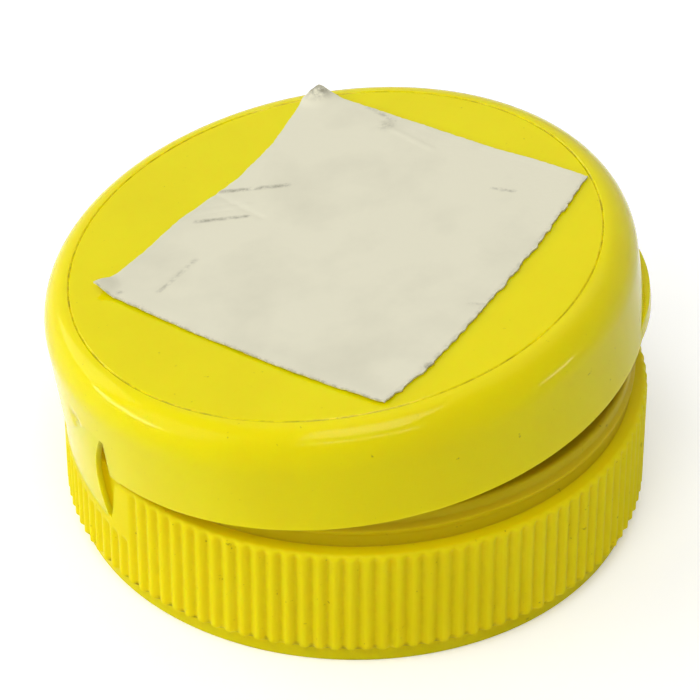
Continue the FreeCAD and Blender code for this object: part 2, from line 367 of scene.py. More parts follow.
def combine(body, tool, operation):
    """Joins tool to body, or cuts it out of body, and removes the tool."""
    modifier = body.modifiers.new("combine", "BOOLEAN")
    modifier.operation = operation
    modifier.solver = "EXACT"
    modifier.object = tool
    shaped = bpy.data.meshes.new_from_object(body.evaluated_get(bpy.context.evaluated_depsgraph_get()))
    body.modifiers.clear()
    body.data = shaped
    bpy.data.objects.remove(tool)
    if not len(shaped.polygons):
        raise RuntimeError(body.name + " came out empty")


def soil(obj, amount, name="grime_and_shade"):
    """Stores how soiled or shaded each point is, from a function of its place in millimetres."""
    layer = obj.data.attributes.new(name, "FLOAT", "POINT")
    layer.data.foreach_set("value", [amount(*(v.co / MM)) for v in obj.data.vertices])


def finish_surface(obj, angle=32):
    """Smooth shading with sharp edges where the surface turns by more than the angle."""
    obj.data.shade_smooth()
    obj.data.set_sharp_from_angle(angle=math.radians(angle))


def evenly(low, high, count):
    """Count values from low to high, both included."""
    return [low + (high - low) * i / (count - 1) for i in range(count)]


def smooth_step(low, high, value):
    """0 below low and 1 above high, with a smooth rise between them."""
    t = min(1.0, max(0.0, (value - low) / (high - low)))
    return t * t * (3 - 2 * t)


# The hinge's lines, in millimetres


def film_height(y):
    """Height of the web's lower film line on the base."""
    past_flat = max(0.0, abs(y) - FILM_FLAT_HALF)
    return FILM_Z - FILM_FALL * past_flat / (WINDOW_FOOT_HALF - FILM_FLAT_HALF)


def arm_height(y):
    """Height of the web's upper film line over the lid's edge."""
    slope = (ARM_RISE + TONGUE_DROP) / (ARM_HALF - TONGUE_HALF)
    return slope * max(0.0, min(abs(y), ARM_HALF) - TONGUE_HALF) - TONGUE_DROP


def on_hinge_side(r, y):
    """The x of a point of radius r on the hinge side."""
    return -math.sqrt(r * r - y * y)


def on_hinge_wall(rows, r):
    """Rows of (y, z) as points of radius r on the hinge side."""
    return [[(on_hinge_side(r, y), y, z) for y, z in row] for row in rows]


def lid_place(lid):
    """The matrix from the lid's own frame to its place ajar on the base, in millimetres."""
    closed = Matrix.Translation((lid.forward, 0, lid.lift))
    turn = Matrix.Rotation(rest_angle, 4, hinge_axis)
    return Matrix.Translation(hinge_point) @ turn @ Matrix.Translation(-hinge_point) @ closed


def place_on_lid(obj, lid):
    """Moves a piece made in the lid's own frame to its place ajar on the base."""
    scale = Matrix.Scale(MM, 4)
    obj.data.transform(scale @ lid_place(lid) @ scale.inverted())


# The ribbed base


def groove_top(angle, base):
    """Height at which the groove at an angle from the hinge ends."""
    from_hinge = math.degrees(math.acos(math.cos(angle - math.pi)))
    if from_hinge > PILLAR_HALF_ANGLE:
        return base.ledge_z + 0.12
    y = min(base.rib_crest_r * math.sin(math.radians(from_hinge)), WINDOW_FOOT_HALF)
    return film_height(y) - RIB_MARGIN


def ribbed_ring(base, rib_count, z, inset=0.0):
    """One ring of the ribbed wall, whose soft grooves fade out at the top and end in a rounded foot."""
    pitch = 2 * math.pi / rib_count
    foot = math.sqrt(min(1.0, max(0.0, (z - base.band_height) / RIB_FOOT)))
    ring = []
    for rib in range(rib_count):
        middle = rib * pitch + math.pi
        top = groove_top(middle, base)
        fade = 1 - smooth_step(top - GROOVE_FADE, top, z)
        for share in COLUMN_SHARES:
            dip = GROOVE_DEPTH * fade * (0.5 + 0.5 * math.cos(2 * math.pi * share)) ** 1.3
            stand = base.rib_crest_r - base.rib_root_r - inset - dip
            r = base.rib_root_r + stand * foot
            angle = middle + share * pitch
            ring.append((r * math.cos(angle), r * math.sin(angle), z))
    return ring


def base_wall_rings(base, rib_count):
    """The rings of the base's outside, from its foot to the inner end of its shoulder."""
    pitch = 2 * math.pi / rib_count
    angles = [math.pi + (rib + share) * pitch for rib in range(rib_count) for share in COLUMN_SHARES]
    band = soften([
        (base.band_r - 0.6, 0, 0),
        (base.band_r, 0, 0.25),
        (base.band_r, base.band_height - 0.05, 0),
    ])
    rings = [ring_points(r, z, angles) for r, z in band]
    top = base.ledge_z - SHOULDER_R
    low_ends = groove_top(math.pi, base) - FILM_FALL - GROOVE_FADE
    high_ends = groove_top(0, base) - GROOVE_FADE
    heights = [base.band_height + RIB_FOOT * (1 - math.cos(math.radians(15 * i))) for i in range(7)]
    heights += evenly(base.band_height + RIB_FOOT + 0.3, low_ends - 0.2, 3)
    heights += evenly(low_ends, low_ends + FILM_FALL + GROOVE_FADE, 12)
    heights += evenly(low_ends + FILM_FALL + GROOVE_FADE + 0.5, high_ends - 0.3, 3)
    heights += evenly(high_ends, top, 9)
    for z in heights:
        rings.append(ribbed_ring(base, rib_count, z))
    for step in range(1, 6):
        turn = math.radians(90 * step / 5)
        inset = SHOULDER_R * (1 - math.cos(turn))
        rings.append(ribbed_ring(base, rib_count, top + SHOULDER_R * math.sin(turn), inset))
    return rings


def base_inside_outline(base):
    """The outline of the rest of the base, from the ledge over the neck ring, deck and seal to the foot."""
    return soften([
        (base.ring_r + 0.75, base.ledge_z, 0),
        (base.ring_r, base.ledge_z, 0.12),
        (base.ring_r, base.bead_z - BEAD_HALF, 0.12),
        (base.bead_r, base.bead_z, 0.2),
        (base.ring_r, base.bead_z + BEAD_HALF, 0.12),
        (base.ring_r, base.ring_top, 0.35),
        (base.ring_inner_r, base.ring_top, 0.35),
        (base.ring_inner_r, base.deck_top, 0.4),
        (base.collar_r, base.deck_top, 0.3),
        (base.collar_r, base.collar_top, 0.2),
        (base.hole_r, base.collar_top, 0.2),
        (base.hole_r, base.deck_bottom, 0.2),
        (base.seal_r - 0.8, base.deck_bottom, 0.3),
        (base.seal_r - 0.8, base.deck_bottom - 2.2, 0.15),
        (base.seal_r - 0.25, base.deck_bottom - 2.2, 0.15),
        (base.seal_r, base.deck_bottom, 0.3),
        (base.skirt_r, base.deck_bottom, 0.5),
        (base.skirt_r, 0, 0.15),
        (base.skirt_r + 0.3, 0, 0),
    ])


def recess_radius(y):
    """Radius of the wall behind the web. It stands back behind the tongue, which moves in there."""
    return RECESS_R + RECESS_RISE * smooth_step(4.6, 6.6, abs(y))


def window_cutter(base):
    """The space in the base's wall behind and around the web, with flared upper corners."""
    flare = base.ledge_z - WINDOW_ROUND
    upper = []
    for step in range(1, 7):
        turn = math.radians(90 * step / 6)
        upper.append((flare + WINDOW_ROUND * math.sin(turn), WINDOW_HALF + WINDOW_ROUND * (1 - math.cos(turn))))
    upper.append((base.ring_top + 1, WINDOW_HALF + WINDOW_ROUND))
    shares = evenly(-1, 1, 61)
    foot = [share * WINDOW_FOOT_HALF for share in shares]
    rows = [[(y, film_height(y)) for y in foot], [(share * WINDOW_HALF, flare) for share in shares]]
    rows += [[(share * half, z) for share in shares] for z, half in upper]
    inner = [[(on_hinge_side(recess_radius(y), y), y, z) for y, z in row] for row in rows]
    outer = [[(-base.rib_crest_r - 2, y, z) for y, z in row] for row in rows]
    return slab("window_cutter", inner, outer)


def thread_ridge(base):
    """The screw thread's ridge inside the skirt, with run-out ends."""
    steps = int(THREAD_TURNS * THREAD_STEPS)
    rows = []
    for i in range(steps + 1):
        angle = 2 * math.pi * i / THREAD_STEPS
        z = THREAD_START + base.thread_pitch * i / THREAD_STEPS
        ends = min(1.0, min(i, steps - i) / THREAD_RUN_OUT + 0.1)
        crest = base.skirt_r - (base.skirt_r - base.thread_crest_r) * ends
        root = base.skirt_r + 0.3
        section = [
            (root, -1.05), (base.skirt_r, -0.8), (crest, -0.4),
            (crest, 0.4), (base.skirt_r, 0.8), (root, 1.05),
        ]
        rows.append([(r * math.cos(angle), r * math.sin(angle), z + up) for r, up in section])
    return swept("thread_ridge", rows)


# The lid


def dented_ring(r, z, angles):
    """A ring of the lid's side, pressed in a little where the lid took a knock beside its hinge."""
    ring = []
    for a in angles:
        away = math.hypot(r * (a - math.radians(DENT_ANGLE)), z - DENT_Z)
        low = r - DENT_DEPTH * (1 - smooth_step(0.0, DENT_REACH, away))
        ring.append((low * math.cos(a), low * math.sin(a), z))
    return ring


def line_radius(lid):
    """Radius of the fine ring line near the edge of the lid's top."""
    return lid.lid_r - lid.draft - lid.rim_width - 0.1


def lid_rings(lid):
    """The rings of the lid's shell, from the middle of its top out over the rim and back inside."""
    angles = [2 * math.pi * i / 360 for i in range(360)]
    side_r = lid.lid_r - lid.draft
    disc_r = side_r - lid.rim_width
    side_top = lid.height - lid.rim_drop
    inside_top = lid.height - lid.top_thickness
    line_r = line_radius(lid)
    line = [(line_r - 0.1, lid.height), (line_r - 0.03, lid.height - 0.05), (line_r, lid.height - 0.08)]
    line += [(line_r + 0.03, lid.height - 0.05), (disc_r, lid.height)]
    disc = [(r, lid.height) for r in (0.0, 2.0, 6.0, 10.0, 14.0, 17.0, disc_r - 0.6)]
    rim = []
    for step in range(1, 15):
        turn = math.radians(90 * step / 14)
        rim.append((disc_r + lid.rim_width * math.sin(turn), side_top + lid.rim_drop * math.cos(turn)))
    side = [(side_r + lid.draft * (1 - z / side_top), z) for z in evenly(side_top - 0.2, 0.3, 17)]
    wall = soften([
        (lid.lid_r, 0.2, 0),
        (lid.lid_r, 0, 0.15),
        (lid.inner_r, 0, 0.1),
        (lid.inner_r, inside_top, 1.7),
        (lid.inner_r - 4, inside_top, 0),
    ], 6)
    inside = [(r, inside_top) for r in (14.0, 10.0, 6.0, 2.0, 0.0)]
    rings = [ring_points(r, z, angles) for r, z in disc + line + rim]
    rings += [dented_ring(r, z, angles) for r, z in side]
    return rings + [ring_points(r, z, angles) for r, z in wall + inside]


def lid_tongue(lid):
    """The wall below the lid's edge that the web is moulded to."""
    rows = [[(y, z) for y in evenly(-ARM_HALF, ARM_HALF, 41)] for z in evenly(-TONGUE_DROP, 0.5, 5)]
    return slab("lid_tongue", on_hinge_wall(rows, lid.lid_r), on_hinge_wall(rows, lid.inner_r))


def lid_window(lid, side):
    """The opening in the lid's hinge wall beside its tongue, on one side, +1 or -1."""
    columns = evenly(TONGUE_HALF, ARM_HALF, 22) + evenly(ARM_HALF + 0.2, LID_WINDOW_HALF, 6)
    rows = [[(side * y, -TONGUE_DROP - 1) for y in columns], [(side * y, arm_height(y)) for y in columns]]
    inner = on_hinge_wall(rows, lid.inner_r - 0.4)
    outer = [[(-lid.lid_r - 2, y, z) for y, z in row] for row in rows]
    return slab("lid_window", inner, outer)


def ring_arc(name, outline, half_angle):
    """A closed ring segment round +X with the outline of (r, z) corners as its section."""
    rows = []
    for a in evenly(-half_angle, half_angle, 61):
        rows.append([(r * math.cos(math.radians(a)), r * math.sin(math.radians(a)), z) for r, z in outline])
    return swept(name, rows)


def thumb_lip(lid, half_angle=19.5):
    """The crescent at the lid's front edge, with its tips running out into the wall."""
    corner_x = lid.lid_r * math.cos(math.radians(half_angle))
    front = lid.lid_r + lid.lip_proud
    shift = (front ** 2 - lid.lid_r ** 2) / (2 * (front - corner_x))
    radius = front - shift
    levels = soften([(-0.6, 0, 0), (0, 0, 0.12), (0, lid.lip_height, 0.12), (-0.6, lid.lip_height, 0)], 5)
    inner = []
    outer = []
    for inset, z in levels:
        row_in = []
        row_out = []
        for a in evenly(-half_angle - 3, half_angle + 3, 61):
            turn = math.radians(a)
            r = radius + inset
            reach = shift * math.cos(turn) + math.sqrt(r * r - (shift * math.sin(turn)) ** 2)
            low = lid.lid_r - 0.5
            reach = max(reach, low + 0.05)
            row_in.append((low * math.cos(turn), low * math.sin(turn), z))
            row_out.append((reach * math.cos(turn), reach * math.sin(turn), z))
        inner.append(row_in)
        outer.append(row_out)
    return slab("thumb_lip", outer, inner)


def sealing_plug(lid):
    """The ring under the lid that closes the pouring hole."""
    angles = [2 * math.pi * i / 96 for i in range(96)]
    root = lid.height - lid.top_thickness / 2
    outline = soften([
        (lid.plug_r - lid.plug_wall, root, 0),
        (lid.plug_r - lid.plug_wall, lid.plug_tip, 0.2),
        (lid.plug_r - 0.35, lid.plug_tip, 0.2),
        (lid.plug_r, lid.plug_tip + 0.8, 0.3),
        (lid.plug_r, root, 0),
    ])
    plug = turned("sealing_plug", [ring_points(r, z, angles) for r, z in outline])
    plug.data.transform(Matrix.Translation((-lid.forward * MM, 0, 0)))
    return plug


# The label, in the lid's own frame and seen from above


def edge_line(start, between, end, size):
    """The points of one edge of the label, evenly spread along its bends."""
    bends = [Vector(p) for p in (start, *between, end)]
    spans = [(b - a).length for a, b in zip(bends[:-1], bends[1:])]
    points = []
    for k in range(size + 1):
        along = sum(spans) * k / size
        span = 0
        while span < len(spans) - 1 and along > spans[span]:
            along -= spans[span]
            span += 1
        points.append(bends[span].lerp(bends[span + 1], min(1.0, along / spans[span])))
    return points


def between_edges(u, v, i, j, low_left, low_right, top_right, top_left):
    """A point of the label that follows all four of its edges."""
    across = low_left[j].lerp(top_right[j], u) + top_left[i].lerp(low_right[i], v)
    corners = low_left[0].lerp(low_left[-1], v).lerp(top_right[0].lerp(top_right[-1], v), u)
    return across - corners


def torn(point, u, v):
    """Moves points near the label's edges a little, so that they look torn. The lower right edge is roughest."""
    place = Vector((point.x, point.y, 3.0))
    across = noise.fractal(place * TEAR_SCALE, 1.0, 2.0, 4)
    along = noise.fractal(place * TEAR_SCALE + Vector((9, 0, 0)), 1.0, 2.0, 4)
    strength = TORN_EDGE * smooth_step(0.985, 1.0, v) + CUT_EDGE * smooth_step(0.985, 1.0, max(u, 1 - u, 1 - v))
    return point + Vector((across, along)) * strength


def along_line(point, start, end):
    """How far a point lies from a line, in millimetres."""
    a = Vector(start)
    line = Vector(end) - a
    t = max(0.0, min(1.0, (point - a).dot(line) / line.length_squared))
    return (point - a - line * t).length


def paper_lift(point):
    """Height of the paper over the lid: a slight swell, creases, loose edges and two lifted corners."""
    lift = 0.02 + 0.03 * (1 + noise.noise(Vector((point.x, point.y, 0.5)) * 0.2))
    for start, end, depth in CREASES:
        lift += depth * (1 - smooth_step(0.0, 0.35, along_line(point, start, end)))
    loose = 1 - smooth_step(0.0, 2.2, along_line(point, LABEL_LEFT, LABEL_BOTTOM))
    lift += 0.16 * loose * (0.6 + 0.4 * noise.noise(Vector((point.x, point.y, 4.0)) * 0.4))
    lift += 0.7 * (1 - smooth_step(0.0, 2.3, (point - Vector(LABEL_TOP)).length))
    lift += 0.5 * (1 - smooth_step(0.0, 1.9, (point - Vector(LABEL_LEFT)).length))
    return max(0.01, lift)


def paper_dirt_and_shadow(x, y, z):
    """How dirty the paper is: along its edges, on its upper corner and in a few smudges, with a painted shadow
    along its lower left edge.
    """
    point = Vector((x, y))
    dirt = 0.75 * (1 - smooth_step(0.3, 1.7, (point - Vector(LABEL_TOP)).length))
    for a, b in zip((LABEL_BOTTOM, *LABEL_LOW_RIGHT), (*LABEL_LOW_RIGHT, LABEL_RIGHT)):
        dirt = max(dirt, 0.3 * (1 - smooth_step(0.0, 0.4, along_line(point, a, b))))
    # Painted shadow: a thin dark line along the lower left edge, where its loose edge would cast one.
    for a, b in zip((LABEL_LEFT, *LABEL_LOW_LEFT), (*LABEL_LOW_LEFT, LABEL_BOTTOM)):
        dirt = max(dirt, 0.4 * (1 - smooth_step(0.0, 0.22, along_line(point, a, b))))
    for place, reach, amount in SMUDGES:
        dirt = max(dirt, amount * (1 - smooth_step(0.0, reach, (point - Vector(place)).length)))
    for start, end, reach, amount in STREAKS:
        dirt = max(dirt, amount * (1 - smooth_step(0.0, reach, along_line(point, start, end))))
    return dirt


# Materials


def add_node(tree, kind, settings=None, links=None):
    """Adds a node, sets its properties and sockets, and links sockets from other nodes' outputs."""
    node = tree.nodes.new(kind)
    for key, value in (settings or {}).items():
        if isinstance(key, str) and hasattr(node, key):
            setattr(node, key, value)
        else:
            node.inputs[key].default_value = value
    for socket, source in (links or {}).items():
        tree.links.new(source, node.inputs[socket])
    return node


def new_material(name):
    """An empty node material with its output node."""
    material = bpy.data.materials.new(name)
    material.use_nodes = True
    tree = material.node_tree
    tree.nodes.clear()
    return material, tree, tree.nodes.new("ShaderNodeOutputMaterial")


def moulded_polypropylene(name, yellow, grime_and_shade, roughness, grain, clean):
    """Injection-moulded polypropylene, dyed through.

    The dye and the slightly milky plastic give the eye a saturated yellow with soft shadows. Its skin is
    smooth where the mould was polished. Dirt, and painted shade in grooves and under rib ends, darken its
    corners and lines, and painted shade gives a darker tint where a part lies in shade under another. Its
    specks, fewer where clean is higher, and its grain are drawn as coarse as they need to show.
    """
    material, tree, output = new_material(name)
    place = add_node(tree, "ShaderNodeTexCoord").outputs["Object"]
    flow = add_node(tree, "ShaderNodeTexNoise", {"Scale": 1 / (7 * MM), "Detail": 3.0}, {"Vector": place})
    shade = add_node(tree, "ShaderNodeMapRange", {"From Min": 0.35, "From Max": 0.75, "To Max": 0.16},
                     {"Value": flow.outputs["Fac"]})
    # Painted shade: an attribute marks where the yellow turns to a darker tint because the part lies in shade; the
    # noise above adds random tone.
    inner = add_node(tree, "ShaderNodeAttribute", {"attribute_name": "depth"})
    random_tone_and_painted_shade = add_node(tree, "ShaderNodeMath", {"operation": "MAXIMUM"},
                      {0: shade.outputs["Result"], 1: inner.outputs["Fac"]})
    toned_and_shaded_yellow = (yellow[0] * 0.76, yellow[1] * 0.68, yellow[2])
    tint = add_node(tree, "ShaderNodeMix", {"data_type": "RGBA", 6: (*yellow, 1), 7: (*toned_and_shaded_yellow, 1)},
                    {0: random_tone_and_painted_shade.outputs[0]})
    # Dirt and painted shade, from the soil attribute, broken up by patchy noise.
    dust_and_shade_mask = add_node(tree, "ShaderNodeAttribute", {"attribute_name": "grime_and_shade"})
    patches = add_node(tree, "ShaderNodeTexNoise", {"Scale": 1 / (1.1 * MM), "Detail": 6.0, "Roughness": 0.65},
                       {"Vector": place})
    patchy = add_node(tree, "ShaderNodeMapRange", {"From Min": 0.4, "From Max": 0.66},
                      {"Value": patches.outputs["Fac"]})
    lying = add_node(tree, "ShaderNodeMath", {"operation": "MULTIPLY"},
                     {0: patchy.outputs["Result"], 1: dust_and_shade_mask.outputs["Fac"]})
    specks = add_node(tree, "ShaderNodeTexNoise", {"Scale": 1 / (0.6 * MM), "Detail": 4.0, "Roughness": 0.6},
                      {"Vector": place})
    rare = add_node(tree, "ShaderNodeMapRange", {"From Min": clean, "From Max": clean + 0.06, "To Max": 0.5},
                    {"Value": specks.outputs["Fac"]})
    dirt = add_node(tree, "ShaderNodeMath", {"operation": "MAXIMUM"},
                    {0: lying.outputs[0], 1: rare.outputs["Result"]})
    soiled = add_node(tree, "ShaderNodeMix", {"data_type": "RGBA", 7: (*grime_and_shade, 1)},
                      {0: dirt.outputs[0], 6: tint.outputs[2]})
    gloss = add_node(tree, "ShaderNodeMapRange",
                     {"From Min": 0.3, "From Max": 0.7, "To Min": roughness * 0.85, "To Max": roughness * 1.2},
                     {"Value": flow.outputs["Fac"]})
    worn = add_node(tree, "ShaderNodeMath", {"operation": "MULTIPLY_ADD", 1: 0.4},
                    {0: dirt.outputs[0], 2: gloss.outputs["Result"]})
    skin = add_node(tree, "ShaderNodeTexNoise", {"Scale": 1 / (0.45 * MM), "Detail": 4.0}, {"Vector": place})
    bump = add_node(tree, "ShaderNodeBump", {"Strength": grain, "Distance": 0.05 * MM},
                    {"Height": skin.outputs["Fac"]})
    shader = add_node(
        tree, "ShaderNodeBsdfPrincipled",
        {"IOR": 1.49, "Specular IOR Level": 0.12, "Subsurface Weight": 0.8, "Subsurface Radius": (1.0, 0.7, 0.05),
         "Subsurface Scale": 1.3 * MM},
        {"Base Color": soiled.outputs[2], "Roughness": worn.outputs[0], "Normal": bump.outputs["Normal"]},
    )
    tree.links.new(shader.outputs["BSDF"], output.inputs["Surface"])
    return material


def let_light_through(material, yellow):
    """Adds the light that soaks through a thin wall, which gives the eye a warm glow behind it.

    The point attribute "inner" tells how much of it the wall's inner side shows.
    """
    tree = material.node_tree
    output = tree.nodes["Material Output"]
    skin = output.inputs["Surface"].links[0].from_socket
    facing = add_node(tree, "ShaderNodeNewGeometry")
    inner = add_node(tree, "ShaderNodeAttribute", {"attribute_name": "inner"})
    share = add_node(tree, "ShaderNodeMath", {"operation": "MAXIMUM"},
                     {0: facing.outputs["Backfacing"], 1: inner.outputs["Fac"]})
    soaked = add_node(tree, "ShaderNodeBsdfTranslucent", {"Color": (yellow[0] * 0.8, yellow[1] * 0.83, 0.02, 1)})
    both = add_node(tree, "ShaderNodeMixShader", None, {0: share.outputs[0], 1: skin, 2: soaked.outputs[0]})
    tree.links.new(both.outputs[0], output.inputs["Surface"])


def creased_paper(name, white, grime_and_shade):
    """Uncoated writing paper, torn and handled.

    It gives the eye a warm matt white with a faint grain, grey smudges, dirty edges and a painted shadow
    along its lower left edge. Its fibres are drawn coarser than the real ones, which are too fine to show.
    """
    material, tree, output = new_material(name)
    place = add_node(tree, "ShaderNodeTexCoord").outputs["Object"]
    cloud = add_node(tree, "ShaderNodeTexNoise", {"Scale": 1 / (5 * MM), "Detail": 5.0}, {"Vector": place})
    smudge = add_node(tree, "ShaderNodeMapRange", {"From Min": 0.45, "From Max": 0.8, "To Max": 0.12},
                      {"Value": cloud.outputs["Fac"]})
    # Paper dirt, and the painted shadow along the lower left edge, from the soil attribute.
    dust_and_shade_mask = add_node(tree, "ShaderNodeAttribute", {"attribute_name": "grime_and_shade"})
    streaks = add_node(tree, "ShaderNodeTexNoise", {"Scale": 1 / (0.5 * MM), "Detail": 5.0, "Roughness": 0.7},
                       {"Vector": place})
    broken = add_node(tree, "ShaderNodeMapRange", {"From Min": 0.36, "From Max": 0.62},
                      {"Value": streaks.outputs["Fac"]})
    lying = add_node(tree, "ShaderNodeMath", {"operation": "MULTIPLY"},
                     {0: broken.outputs["Result"], 1: dust_and_shade_mask.outputs["Fac"]})
    dirt = add_node(tree, "ShaderNodeMath", {"operation": "ADD", "use_clamp": True},
                    {0: lying.outputs[0], 1: smudge.outputs["Result"]})
    soiled = add_node(tree, "ShaderNodeMix", {"data_type": "RGBA", 6: (*white, 1), 7: (*grime_and_shade, 1)},
                      {0: dirt.outputs[0]})
    fibre = add_node(tree, "ShaderNodeTexNoise", {"Scale": 1 / (0.35 * MM), "Detail": 4.0}, {"Vector": place})
    bump = add_node(tree, "ShaderNodeBump", {"Strength": 0.3, "Distance": 0.03 * MM},
                    {"Height": fibre.outputs["Fac"]})
    shader = add_node(
        tree, "ShaderNodeBsdfPrincipled", {"Roughness": 0.85, "Specular IOR Level": 0.3},
        {"Base Color": soiled.outputs[2], "Normal": bump.outputs["Normal"]},
    )
    tree.links.new(shader.outputs["BSDF"], output.inputs["Surface"])
    return material


# The operators


class MAKE_OT_cap_base(bpy.types.Operator):
    """Makes the ribbed base with its thread, deck, neck ring and hinge window"""

    bl_idname = "make.cap_base"
    bl_label = "Ribbed base"

    def execute(self, context):
        """Builds the base and lets it stand for its solid."""
        group = context.scene.cap_base_sizes
        finishes = context.scene.cap_finishes
        base = InMillimetres(group)
        angles = [math.pi + 2 * math.pi * (i - 0.5) / COARSE_COLUMNS for i in range(COARSE_COLUMNS)]
        rings = base_wall_rings(base, group.rib_count)
        rings += [ring_points(r, z, angles) for r, z in base_inside_outline(base)]
        body = turned("ribbed_base", rings)
        combine(body, window_cutter(base), "DIFFERENCE")
        combine(body, thread_ridge(base), "UNION")
        finish_surface(body)

        def dust_and_shade(x, y, z):
            """Dust and painted shade gather at the foot of the ribs, most in the grooves on the front left, and a
            little all along the grooves.
            """
            r = math.hypot(x, y)
            outside = r > base.skirt_r + 0.5
            under_ribs = outside * (1 - smooth_step(0.0, 0.5, abs(z - base.band_height - 0.1)))
            beside_ribs = base.band_height - 0.01 < z < base.ledge_z - 0.6
            groove = smooth_step(0.08, 0.3, base.rib_crest_r - r) * beside_ribs
            worst = 1 - smooth_step(0.2, 1.2, abs(math.atan2(-y, -x) - 0.75))
            return under_ribs * (0.3 + (0.5 + 0.5 * worst) * groove) + 0.08 * outside * groove

        def depth(x, y, z):
            """Painted shade: the neck ring, in the shaded gap under the lid, gets a darker tint, except behind the
            web.
            """
            r = math.hypot(x, y)
            ring = base.ring_inner_r + 0.3 < r < base.bead_r + 0.1 and z > base.ledge_z + 0.02
            return 0.9 * ring * smooth_step(-WINDOW_HALF - 5, -WINDOW_HALF - 2, x)

        # Dust, with painted shade in the grooves and under the rib ends.
        soil(body, dust_and_shade)
        # Painted shade: a darker tint on the neck ring in the gap under the lid.
        soil(body, depth, "depth")
        body.data.materials.append(moulded_polypropylene(
            "satin moulded polypropylene", finishes.base_yellow, finishes.grime_and_shade,
            roughness=0.55, grain=0.35, clean=0.67))
        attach(body, "base")
        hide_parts("cap_base")
        return {"FINISHED"}


class MAKE_OT_cap_lid(bpy.types.Operator):
    """Makes the domed lid with its tongue, hinge windows, sealing plug, snap bead and thumb lip"""

    bl_idname = "make.cap_lid"
    bl_label = "Domed lid"

    def execute(self, context):
        """Builds the lid and lets it stand for its solid."""
        finishes = context.scene.cap_finishes
        lid = InMillimetres(context.scene.cap_lid_sizes)
        body = turned("domed_lid", lid_rings(lid))
        bead = [(lid.inner_r + 0.3, 0.45), (lid.inner_r, 0.45), (lid.inner_r - 0.6, 0.8), (lid.inner_r, 1.15),
                (lid.inner_r + 0.3, 1.15)]
        combine(body, lid_tongue(lid), "UNION")
        combine(body, thumb_lip(lid), "UNION")
        combine(body, sealing_plug(lid), "UNION")
        combine(body, ring_arc("snap_bead", bead, 50), "UNION")
        combine(body, lid_window(lid, 1), "DIFFERENCE")
        combine(body, lid_window(lid, -1), "DIFFERENCE")
        line_r = line_radius(lid)

        def dust_and_shade(x, y, z):
            """The fine ring line is darkened, and dirt fills the dent."""
            r = math.hypot(x, y)
            if z > lid.height - 0.6:
                return 0.5 * (abs(r - line_r) < 0.035)
            around = math.degrees(math.atan2(y, x)) % 360 - DENT_ANGLE
            away = math.hypot(r * math.radians(around), z - DENT_Z)
            return 0.6 * (r > lid.inner_r + 0.3) * (1 - smooth_step(0.2, 1.0, away))

        soil(body, dust_and_shade)
        place_on_lid(body, lid)
        finish_surface(body)
        body.data.materials.append(moulded_polypropylene(
            "glossy moulded polypropylene", finishes.lid_yellow, finishes.grime_and_shade,
            roughness=0.08, grain=0.03, clean=0.7))
        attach(body, "lid")
        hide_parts("flip_lid")
        return {"FINISHED"}


class MAKE_OT_hinge_web(bpy.types.Operator):
    """Makes the bow-tie web of the snap hinge"""

    bl_idname = "make.hinge_web"
    bl_label = "Hinge web"

    def execute(self, context):
        """Builds the web between its two film lines and blends it across the hinge."""
        finishes = context.scene.cap_finishes
        base = InMillimetres(context.scene.cap_base_sizes)
        lid = InMillimetres(context.scene.cap_lid_sizes)
        place = lid_place(lid)
        foot_half = WINDOW_FOOT_HALF - WEB_SIDE_GAP
        heights = evenly(0, 1, 49)
        outer = []
        inner = []
        for t in heights:
            half = foot_half + (WEB_HEAD_HALF - foot_half) * t - WEB_BOW * (1 - (2 * t - 1) ** 2)
            thickness = WEB_THICKNESS * (0.5 + 0.5 * smooth_step(0, 0.06, min(t, 1 - t)))
            row_out = []
            row_in = []
            for share in evenly(-1, 1, 81):
                y = share * half
                foot = Vector((on_hinge_side(base.rib_crest_r - WEB_FOOT_STEP, y), y, film_height(y) - 0.5))
                head = place @ Vector((on_hinge_side(lid.lid_r - WEB_HEAD_STEP, y), y, arm_height(y) + 0.5))
                point = foot.lerp(head, t)
                row_out.append(tuple(point))
                row_in.append((point.x + thickness, point.y, point.z))
            outer.append(row_out)
            inner.append(row_in)
        web = slab("hinge_web_skin", outer, inner)
        finish_surface(web, 50)
        side_points = len(outer) * len(outer[0])
        glow = web.data.attributes.new("inner", "FLOAT", "POINT")
        glow.data.foreach_set("value", [0.0] * side_points + [WEB_GLOW] * side_points)
        thin = moulded_polypropylene(
            "thin moulded polypropylene", finishes.lid_yellow, finishes.grime_and_shade,
            roughness=0.08, grain=0.03, clean=0.7)
        let_light_through(thin, finishes.lid_yellow)
        web.data.materials.append(thin)
        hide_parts("hinge_web")
        x = -base.rib_crest_r * MM
        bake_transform(web)
        return {"FINISHED"}


class MAKE_OT_paper_label(bpy.types.Operator):
    """Makes the torn paper label on the lid"""

    bl_idname = "make.paper_label"
    bl_label = "Paper label"

    def execute(self, context):
        """Builds the label in the lid's own frame and lays it on the lid."""
        finishes = context.scene.cap_finishes
        lid = InMillimetres(context.scene.cap_lid_sizes)
        size = 150
        low_left = edge_line(LABEL_LEFT, LABEL_LOW_LEFT, LABEL_BOTTOM, size)
        low_right = edge_line(LABEL_BOTTOM, LABEL_LOW_RIGHT, LABEL_RIGHT, size)
        top_right = edge_line(LABEL_TOP, LABEL_TOP_RIGHT, LABEL_RIGHT, size)
        top_left = edge_line(LABEL_LEFT, LABEL_TOP_LEFT, LABEL_TOP, size)
        lower = []
        for i in range(size + 1):
            row = []
            for j in range(size + 1):
                flat = between_edges(i / size, j / size, i, j, low_left, low_right, top_right, top_left)
                point = torn(flat, i / size, j / size)
                row.append((point.x, point.y, lid.height + paper_lift(point)))
            lower.append(row)
        upper = [[(x, y, z + PAPER_THICKNESS) for x, y, z in row] for row in lower]
        label = slab("torn_paper_label", upper, lower)
        soil(label, paper_dirt_and_shadow)
        place_on_lid(label, lid)
        finish_surface(label, 50)
        label.data.materials.append(creased_paper("creased writing paper", finishes.paper, finishes.paper_dirt_and_shadow_colour))
        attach(label, "lid")
        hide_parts("paper_label")
        return {"FINISHED"}


